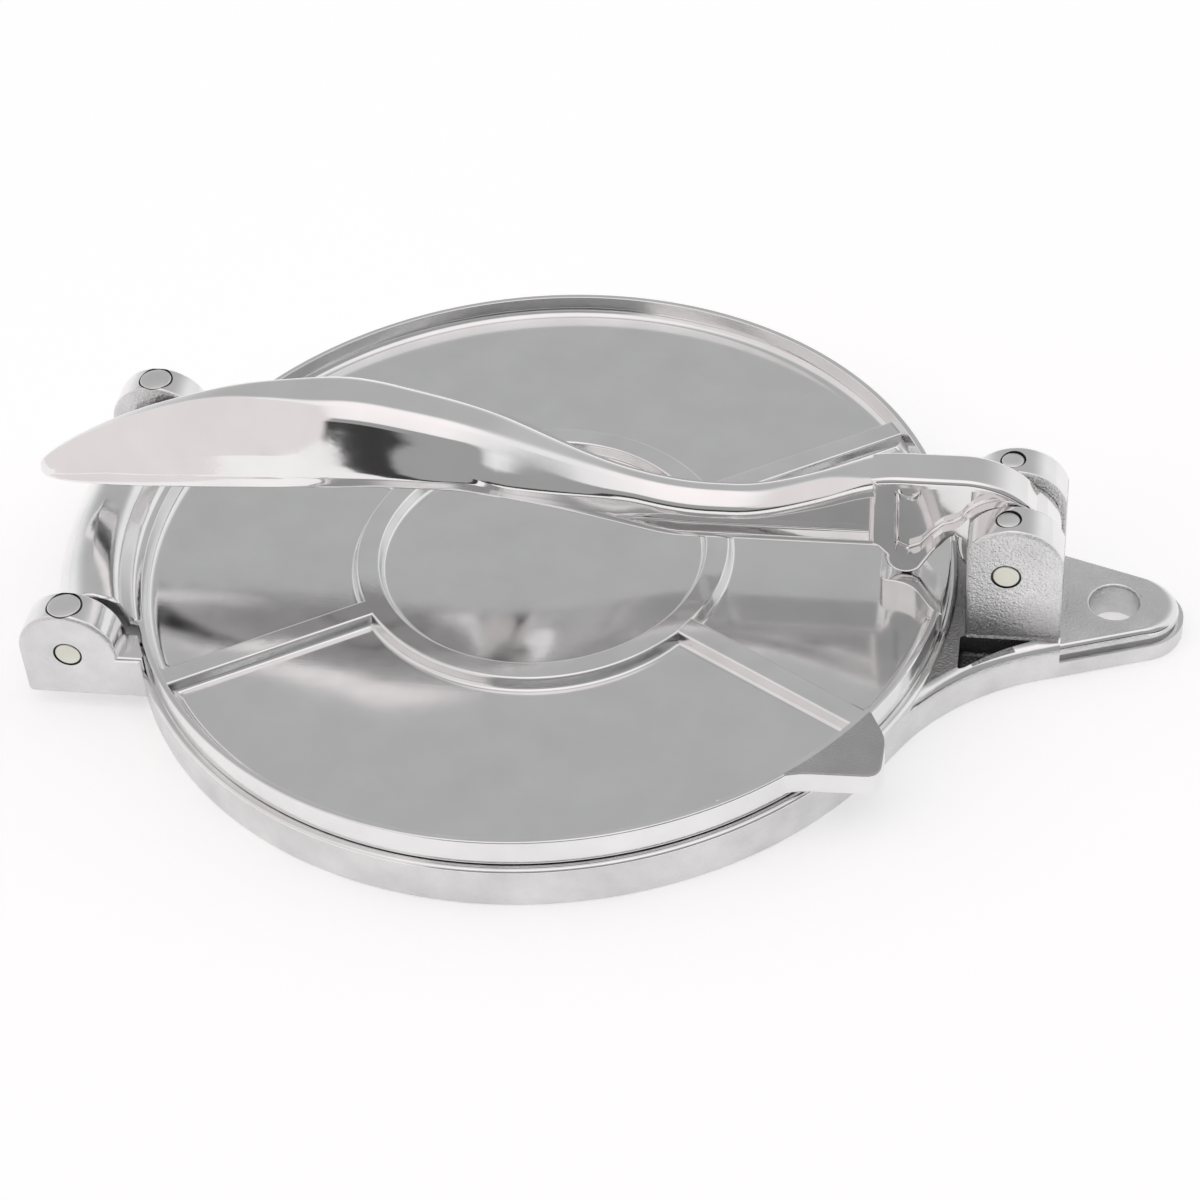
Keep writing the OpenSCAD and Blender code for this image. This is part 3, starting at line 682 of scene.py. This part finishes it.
# %% Lever arm and grip
stations = [30 + 2.5 * k for k in range(69)]
stations += [lever_reach - 40 * (1 - k / 16) ** 1.9 for k in range(1, 17)]
loops = []
for s in stations:
    half = lever_section(s)
    loop = half + [Vector((-p.x, p.y)) for p in reversed(half[1:-1])]
    loops.append([(lever_pin.x - s, p.x, lever_pin.y + p.y) for p in loop])
lever = skin("lever_casting", loops)
print("lever skin has", len(lever.data.polygons), "faces over", len(stations), "stations")

# %% [markdown]
# The hub, the cam's nose and the neck are one thick plate, seen from the side. A recess on each side leaves
# a web in the middle, with an upright rib, a round boss and a small scoop in the recess's corner.
# The lower line is one curve from the hub through a notch to the nose, which presses on the lid's pad.

# %% Lever hub and cam
hub_r = 12.4
neck_arc = Vector((11.5, -2.8))
neck_arc_r = 22.5
cam = Vector((24.7, -5.4))
cam_r = 5.1
flange_drop = 2.4  # the recess's distance from the top line


def turned(points):
    """Side view points, from distances along the lever to places in the press."""
    return [Vector((lever_pin.x - p[0], lever_pin.y + p[1])) for p in points]


hub_side = arc((0, 0), hub_r, 8, -240, 62) + arc(neck_arc, neck_arc_r, 135, 90, 16)
hub_side += [Vector((s, top_up(s))) for s in (17, 22, 26, 28, 30, 31.5, 33)]
hub_side += [Vector((33.4, 8)), Vector((33.6, 1.2))]
hub_side += softened([(33.6, 0, 0), (33.7, -1.97, 0), (31.9, -2.2, 0.8), (cam.x + cam_r, cam.y + 0.8, 1.5)],
                     closed=False)[1:]
hub_side += arc(cam, cam_r, 0, -140, 20)
hub_side += softened([(19.6, -5.4, 1.0), (16.9, -2.2, 1.0), (14.2, 1.6, 1.4), (12.9, 2.2, 0.5)], closed=False)[1:]
hub = prism("hub", turned(hub_side), -arm_half, arm_half, "Y", bevel_low=1.5, bevel_high=1.5)
recess = [Vector(p) for p in ((27.2, -2.6), (24.3, -4.3), (21.2, -2.8), (18.2, 1.2), (15.6, 3.9), (12.9, 4.9))]
recess += arc((0, 0), hub_r + 0.5, 28, 88, 14) + arc(neck_arc, neck_arc_r - flange_drop, 124, 90, 9)
recess += [Vector((s, top_up(s) - flange_drop)) for s in (17, 22, 25.5)] + [Vector((27.2, 16.2))]
recess = [(p.x, p.y, 0.5) for p in recess]
recess_side = turned(softened(recess, steps=2))
cutter = prism("recess", recess_side, web_half, arm_half + over, "Y", bevel_low=0.9)
scoop = rod("scoop", (lever_pin.x - 24.1, lever_pin.y + 13.6), 3.0, web_half - 1.3, web_half + 1.5, chamfer=0.5)
combine(hub, [cutter, mirrored(cutter, "recess_near"), scoop, mirrored(scoop, "scoop_near")], "DIFFERENCE")
combine(lever, [hub])
lever_bore = rod("pin_bore", lever_pin, pin_r + pin_clearance, -arm_half - over, arm_half + over)
combine(lever, [lever_bore], "DIFFERENCE")
settle(lever, sharp=38)

# %% [markdown]
# The two pins are ground rods with a small chamfer, and four little plugs lock them from above.
# Each plug's top is slightly domed, as the end of a driven pin is.

# %% Pins and plugs
lid_hinge_rod = rod("lid_hinge_rod", lid_pin, pin_r, -lid_ear_out, lid_ear_out, chamfer=0.35, sides=96)
lever_hinge_rod = rod("lever_hinge_rod", lever_pin, pin_r, -lever_ear_out, lever_ear_out, chamfer=0.35, sides=96)
plugs = {}
for hinge, (pin, outer, mid, radius, top) in hinges.items():
    foot = pin.y + pin_r + 0.05
    for side, y in (("near", -mid), ("far", mid)):
        name = hinge + "_plug_" + side
        plug = spun(name, softened([(0, foot, 0), (radius, foot, 0.2), (radius, top - 0.35, 0.3),
                                    (radius * 0.55, top - 0.03, 0.8), (0, top - 0.02, 0)]), steps=64)
        only(plug)
        bpy.ops.transform.translate(value=(pin.x * MM, y * MM, 0))
        bpy.ops.object.transform_apply(location=True)
        plugs[name] = plug
for piece in [lid_hinge_rod, lever_hinge_rod] + list(plugs.values()):
    settle(piece)

# %% [markdown]
# All of the castings are bare aluminium, and what sets their surfaces apart is how each was finished.
# The flat floors were rubbed down to a satin grey, the raised edges were polished, and the walls and ears kept
# the fine grain of the sand mould. A function builds such a metal from noise, so every finish shares one recipe.

# %% Metal recipe
def metal(name, color, rough, grain=0.0, grain_size=0.8, brushed=0.0, stain=0.05, shade_z=None):
    """A bare metal: grain is the depth of the sand texture in mm, brushed the depth of fine lines along X.
    Between the two heights shade_z it darkens downwards to a near black, a painted shade low on the part."""
    material = bpy.data.materials.new(name)
    material.use_nodes = True
    nodes, links = material.node_tree.nodes, material.node_tree.links
    shader = nodes["Principled BSDF"]
    shader.inputs["Metallic"].default_value = 1.0
    place = nodes.new("ShaderNodeTexCoord")

    def noise(size, detail, stretch=(1, 1, 1)):
        """Noise with features about size mm across."""
        shift = nodes.new("ShaderNodeMapping")
        shift.inputs["Scale"].default_value = stretch
        links.new(place.outputs["Object"], shift.inputs["Vector"])
        texture = nodes.new("ShaderNodeTexNoise")
        texture.inputs["Scale"].default_value = 1 / (size * MM)
        texture.inputs["Detail"].default_value = detail
        links.new(shift.outputs["Vector"], texture.inputs["Vector"])
        return texture.outputs["Fac"]

    def spread(value, low, high):
        """Spreads a noise, which stays near its middle, from low to high."""
        step = nodes.new("ShaderNodeMapRange")
        step.inputs["From Min"].default_value = 0.3
        step.inputs["From Max"].default_value = 0.7
        step.inputs["To Min"].default_value = low
        step.inputs["To Max"].default_value = high
        links.new(value, step.inputs["Value"])
        return step.outputs["Result"]

    shade = nodes.new("ShaderNodeMix")
    shade.data_type = "RGBA"
    shade.inputs["A"].default_value = (*[c * (1 - stain) for c in color], 1)
    shade.inputs["B"].default_value = (*[min(1.0, c * (1 + stain)) for c in color], 1)
    links.new(spread(noise(14, 3), 0, 1), shade.inputs["Factor"])
    color_out = shade.outputs["Result"]
    # painted shade: between the two heights the colour darkens downwards to this dark grey
    if shade_z:
        height = nodes.new("ShaderNodeSeparateXYZ")
        links.new(place.outputs["Object"], height.inputs["Vector"])
        shade_amount = nodes.new("ShaderNodeMapRange")
        for end, z in zip(("From Min", "From Max"), shade_z):
            shade_amount.inputs[end].default_value = z * MM
        links.new(height.outputs["Z"], shade_amount.inputs["Value"])
        painted_shade_mix = nodes.new("ShaderNodeMix")
        painted_shade_mix.data_type = "RGBA"
        painted_shade_mix.inputs["A"].default_value = (0.16, 0.16, 0.16, 1)
        links.new(shade_amount.outputs["Result"], painted_shade_mix.inputs["Factor"])
        links.new(color_out, painted_shade_mix.inputs["B"])
        color_out = painted_shade_mix.outputs["Result"]
    links.new(color_out, shader.inputs["Base Color"])
    links.new(spread(noise(5, 4), rough * 0.85, rough * 1.2), shader.inputs["Roughness"])
    normal = None
    for depth, texture in ((grain, (grain_size, 2)), (brushed, (0.5, 2, (0.04, 1, 1)))):
        if depth:
            bump = nodes.new("ShaderNodeBump")
            bump.inputs["Distance"].default_value = depth * MM
            links.new(noise(*texture), bump.inputs["Height"])
            if normal:
                links.new(normal, bump.inputs["Normal"])
            normal = bump.outputs["Normal"]
    if normal:
        links.new(normal, shader.inputs["Normal"])
    return material


satin = metal("satin_floor", (0.80, 0.80, 0.80), 0.13, brushed=0.005, stain=0.03)
polished = metal("polished_edge", (0.82, 0.82, 0.82), 0.13, grain=0.02, grain_size=2.5)
buffed = metal("buffed_lever", (0.84, 0.83, 0.83), 0.08, grain=0.008, grain_size=4.0, stain=0.03)
sandy = metal("sandy_cast", (0.74, 0.74, 0.74), 0.42, grain=0.2, grain_size=0.7, stain=0.08)
# the ears' sandy metal, with a painted shade that darkens it towards the foot
sandy_painted_shade = metal("sandy_painted_shade", (0.80, 0.80, 0.80), 0.38, grain=0.4, grain_size=0.6, stain=0.08, shade_z=(5.0, 23.0))
sandy_lug = metal("sandy_lug", (0.48, 0.48, 0.48), 0.45, grain=0.2, grain_size=0.4, stain=0.08)
# near black on the walls and floors of the grooves round pins and plugs: a painted shade
groove_shade = metal("painted_groove_shade", (0.10, 0.10, 0.10), 0.6)
ground = metal("ground_pin", (0.72, 0.72, 0.64), 0.35, grain=0.01, grain_size=0.5)
tumbled = metal("tumbled_plug", (0.76, 0.76, 0.76), 0.38, grain=0.03, grain_size=0.6)
print("finishes:", ", ".join(m.name for m in (satin, polished, buffed, sandy, sandy_painted_shade, sandy_lug, groove_shade)))

# %% [markdown]
# Each casting takes more than one finish, so its faces are sorted by place and by the way they face.

# %% Finishes by face
def finish(piece, *materials, choose=None):
    """Gives the piece its materials, and each face the one that choose(centre in mm, normal) returns."""
    piece.data.materials.clear()
    for material in materials:
        piece.data.materials.append(material)
    for face in piece.data.polygons:
        face.material_index = materials.index(choose(face.center / MM, face.normal)) if choose else 0


def lid_finish(p, n):
    """Satin on the floor, the sand's grain on top of the lug, and a polish on all the rest."""
    if n.z > 0.9 and p.z < rim_z - 0.6 and p.xy.length < rim_in_r and abs(p.z - floor_z) < 0.4:
        return satin
    if p.xy.length > lid_r - 0.3 and p.x > 40 and p.y < -40 and n.z > 0.7:
        return sandy_lug
    return polished


def in_groove(distance, radius, facing, above):
    """True on the wall of a groove round a pin or plug, and on its floor, which lies at above = 0."""
    on_wall = abs(distance - radius - groove) < 0.05 and facing < 0.1 and above < 0.1
    return on_wall or facing > 0.99 and distance < radius + groove and abs(above) < 0.02


def base_finish(p, n):
    """Painted shade in the grooves, the sand's grain with a painted shade that darkens downwards on the ears'
    sides, in the pockets and on the deck between the lever's ears, the sand's grain round the wall, and a polish on
    top.
    """
    for pin, outer, mid, plug_r, top in hinges.values():
        if in_groove(hypot(p.x - pin.x, p.z - pin.y), pin_r, abs(n.y), outer - pin_groove_depth - abs(p.y)):
            return groove_shade
        if p.z > pin.y and in_groove(hypot(p.x - pin.x, abs(p.y) - mid), plug_r, abs(n.z),
                                     top - plug_groove_depth - p.z):
            return groove_shade
    if hypot(p.x - hole_x, p.y) < hole_r + 0.3:
        return sandy
    if abs(n.y) > 0.7 and p.z > arm_h and p.x > ear_front_x:
        return sandy_painted_shade
    # the pockets take the sandy metal with the painted shade, dark in their depth
    pocket_limit = pocket_side + 11.6 * (124 - p.x) / 19  # its curved side, taken as straight
    if 4 < p.z < arm_h - 0.05 and pocket_front - 0.2 < p.x < 126 and pocket_side - 0.2 < abs(p.y) < pocket_limit:
        return sandy_painted_shade
    # the deck between and under the lever's ears takes it too, as a painted shade under the ears
    if 4 < p.z < 13 and 99 < p.x < ear_back_x and abs(p.y) < pocket_side - 0.4:
        return sandy_painted_shade
    lid_ear_side_face = abs(n.y) > 0.7 and p.x < -95 and abs(p.y) > 38
    outer_wall = p.xy.length > base_r - 0.3 and p.z < base_h - 0.5 and abs(n.z) < 0.3
    return sandy if lid_ear_side_face or outer_wall or p.z < 3 or n.z < -0.3 else polished


finish(lid, satin, polished, sandy_lug, choose=lid_finish)
finish(base, polished, sandy, sandy_painted_shade, groove_shade, choose=base_finish)
finish(lever, buffed)
for rods in (lid_hinge_rod, lever_hinge_rod):
    finish(rods, ground)
for plug in plugs.values():
    finish(plug, tumbled)
print("the lid has", len(lid.data.materials), "finishes")

# %% [markdown]
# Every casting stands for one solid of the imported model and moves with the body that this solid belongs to.

# %% Pieces and bodies
for piece, body, node, slot in (
        (base, "base", "base_plate", "cast_base"), (lid, "lid", "lid_plate", "cast_lid"),
        (lever, "lever", "lever_handle", "polished_lever"), (lid_hinge_rod, "base", "lid_hinge_pin", "pin_steel"),
        (lever_hinge_rod, "base", "lever_hinge_pin", "pin_steel"),
        (plugs["lid_plug_near"], "base", "lid_pin_lock_near", "lock_plug"),
        (plugs["lid_plug_far"], "base", "lid_pin_lock_far", "lock_plug"),
        (plugs["lever_plug_near"], "base", "lever_pin_lock_near", "lock_plug"),
        (plugs["lever_plug_far"], "base", "lever_pin_lock_far", "lock_plug")):
    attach(piece, body)
    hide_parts(node)
print("all pieces ride on their bodies")

# %% [markdown]
# Polished metal shows what stands round it, so the floor and the world are built as a small studio.
# The floor is a plain pale plane. The camera and glossy rays see a little light of its own added, which takes
# it close to white and leaves the object's shadow on it.

# %% Floor
def seen_directly(nodes, links):
    """A value that is 1 where the camera, a reflection or a clear body sees the surface, and 0 for its light."""
    path = nodes.new("ShaderNodeLightPath")
    total = path.outputs["Is Camera Ray"]
    for ray in ("Is Glossy Ray", "Is Transmission Ray"):
        add = nodes.new("ShaderNodeMath")
        add.use_clamp = True
        links.new(total, add.inputs[0])
        links.new(path.outputs[ray], add.inputs[1])
        total = add.outputs["Value"]
    return total


floor_lift = 0.37
bpy.ops.object.select_all(action="DESELECT")
bpy.ops.mesh.primitive_plane_add(size=8)
floor = bpy.context.object
floor.name = "floor"
floor_material = bpy.data.materials.new("floor_white")
floor_material.use_nodes = True
floor_nodes, floor_links = floor_material.node_tree.nodes, floor_material.node_tree.links
floor_shader = floor_nodes["Principled BSDF"]
floor_shader.inputs["Base Color"].default_value = (0.86, 0.86, 0.86, 1)
floor_shader.inputs["Roughness"].default_value = 0.9
floor_shader.inputs["Specular IOR Level"].default_value = 0.0
floor_shader.inputs["Emission Color"].default_value = (1, 1, 1, 1)
lift = floor_nodes.new("ShaderNodeMath")
lift.operation = "MULTIPLY"
lift.inputs[1].default_value = floor_lift
floor_links.new(seen_directly(floor_nodes, floor_links), lift.inputs[0])
floor_links.new(lift.outputs["Value"], floor_shader.inputs["Emission Strength"])
floor.data.materials.append(floor_material)
print("floor is", floor.dimensions.x, "m wide")

# %% [markdown]
# The world is a light tent with soft panels. Flat floors look at a grey panel behind the press, and rounded tops
# at a bright one overhead. A wide bright panel stands to the front left, and the tent's dim opening is in front.
# Its darkest part lies along the horizon, which draws the thin dark lines that make polished edges look crisp.
# A panel is a disc or a strip in the sky, found from the direction of the ray alone.

# %% World
world = bpy.data.worlds.new("studio")
bpy.context.scene.world = world
world.use_nodes = True
sky_nodes, sky_links = world.node_tree.nodes, world.node_tree.links
sky_direction = sky_nodes.new("ShaderNodeTexCoord").outputs["Generated"]


def towards(azimuth, elevation=0.0):
    """The direction at this azimuth, where 0 is +Y and 90 is +X, and this elevation, in degrees."""
    a, e = radians(azimuth), radians(elevation)
    return Vector((sin(a) * cos(e), cos(a) * cos(e), sin(e)))


def sky_math(kind, operation, *inputs):
    """A math node of the sky, whose inputs are numbers, vectors or other nodes' outputs."""
    node = sky_nodes.new(kind)
    node.operation = operation
    for socket, value in zip(node.inputs, inputs):
        if isinstance(value, bpy.types.NodeSocket):
            sky_links.new(value, socket)
        else:
            socket.default_value = value
    return next(output for output in node.outputs if output.enabled)


def soft_step(value, start, end):
    """Rises smoothly from 0 at start to 1 at end."""
    step = sky_nodes.new("ShaderNodeMapRange")
    step.interpolation_type = "SMOOTHSTEP"
    step.inputs["From Min"].default_value = start
    step.inputs["From Max"].default_value = end
    sky_links.new(value, step.inputs["Value"])
    return step.outputs["Result"]


def lay(under, color, amount):
    """Lays a colour over what is under it."""
    mix = sky_nodes.new("ShaderNodeMix")
    mix.data_type = "RGBA"
    mix.inputs["B"].default_value = (*color, 1)
    if isinstance(under, bpy.types.NodeSocket):
        sky_links.new(under, mix.inputs["A"])
    else:
        mix.inputs["A"].default_value = (*under, 1)
    sky_links.new(amount, mix.inputs["Factor"])
    return mix.outputs["Result"]


def disc(under, color, azimuth, elevation, inner, outer):
    """A soft disc whose colour is full within inner degrees of its centre and gone at outer degrees."""
    dot = sky_math("ShaderNodeVectorMath", "DOT_PRODUCT", sky_direction, towards(azimuth, elevation))
    return lay(under, color, soft_step(dot, cos(radians(outer)), cos(radians(inner))))


flat_direction = sky_math("ShaderNodeVectorMath", "NORMALIZE", sky_math(
    "ShaderNodeVectorMath", "MULTIPLY", sky_direction, Vector((1, 1, 0))))
height = sky_math("ShaderNodeVectorMath", "DOT_PRODUCT", sky_direction, Vector((0, 0, 1)))


def strip(under, color, azimuth, reach, low, high, soft_side, soft_edge):
    """A soft rectangle that reaches so far to each side, from low to high, all in degrees."""
    dot = sky_math("ShaderNodeVectorMath", "DOT_PRODUCT", flat_direction, towards(azimuth))
    sides = soft_step(dot, cos(radians(reach + soft_side)), cos(radians(reach)))
    above = soft_step(height, sin(radians(low - soft_edge)), sin(radians(low)))
    below = soft_step(height, sin(radians(high + soft_edge)), sin(radians(high)))
    both = sky_math("ShaderNodeMath", "MULTIPLY", above, below)
    return lay(under, color, sky_math("ShaderNodeMath", "MULTIPLY", sides, both))


sky = disc((0.92, 0.92, 0.92), (0.50, 0.50, 0.505), -12, 46, 20, 52)  # the grey panel behind, on the tent's white
sky = strip(sky, (0.38, 0.38, 0.38), 150, 50, 9, 47, 14, 7)           # the tent's dim opening
sky = strip(sky, (0.05, 0.05, 0.05), 150, 52, -2, 9, 14, 4)           # its darkest part, along the horizon
sky = strip(sky, (0.86, 0.81, 0.81), 244, 38, -6, 52, 7, 12)          # the wide panel to the front left
sky = disc(sky, (1.12, 1.06, 1.07), 168, 84, 10, 34)                  # the bright panel overhead
backdrop = sky_nodes.new("ShaderNodeMix")
backdrop.data_type = "RGBA"
backdrop.inputs["B"].default_value = (1, 1, 1, 1)
sky_path = sky_nodes.new("ShaderNodeLightPath")
sky_links.new(sky_path.outputs["Is Camera Ray"], backdrop.inputs["Factor"])
sky_links.new(sky, backdrop.inputs["A"])
sky_links.new(backdrop.outputs["Result"], sky_nodes["Background"].inputs["Color"])
print("the sky has", len(sky_nodes), "nodes")

# %% [markdown]
# A long lens from a steep angle keeps the round plates calm and still shows the lever's side.
# The camera's own axes are built from three angles and written into its matrix, which also allows a slight roll.

# %% Camera
camera_data = bpy.data.cameras.new("camera")
camera_data.lens = 90
camera_data.sensor_width = 36
camera_data.clip_end = 20
camera = bpy.data.objects.new("camera", camera_data)
bpy.context.collection.objects.link(camera)
azimuth, elevation, roll = radians(12), radians(42.755), radians(-5.094)
forward = Vector((-sin(azimuth) * cos(elevation), cos(azimuth) * cos(elevation), -sin(elevation)))
right = forward.cross(Vector((0, 0, 1))).normalized()
up = right.cross(forward)
right, up = cos(roll) * right + sin(roll) * up, cos(roll) * up - sin(roll) * right
turn = Matrix((right, up, -forward)).transposed().to_4x4()
camera_place = Vector((129.37, -545.02, 515.40))
camera.matrix_world = Matrix.Translation(camera_place * MM) @ turn
bpy.context.scene.camera = camera
bpy.context.scene.view_settings.view_transform = "Standard"
print("camera at", [round(v, 3) for v in camera.location])
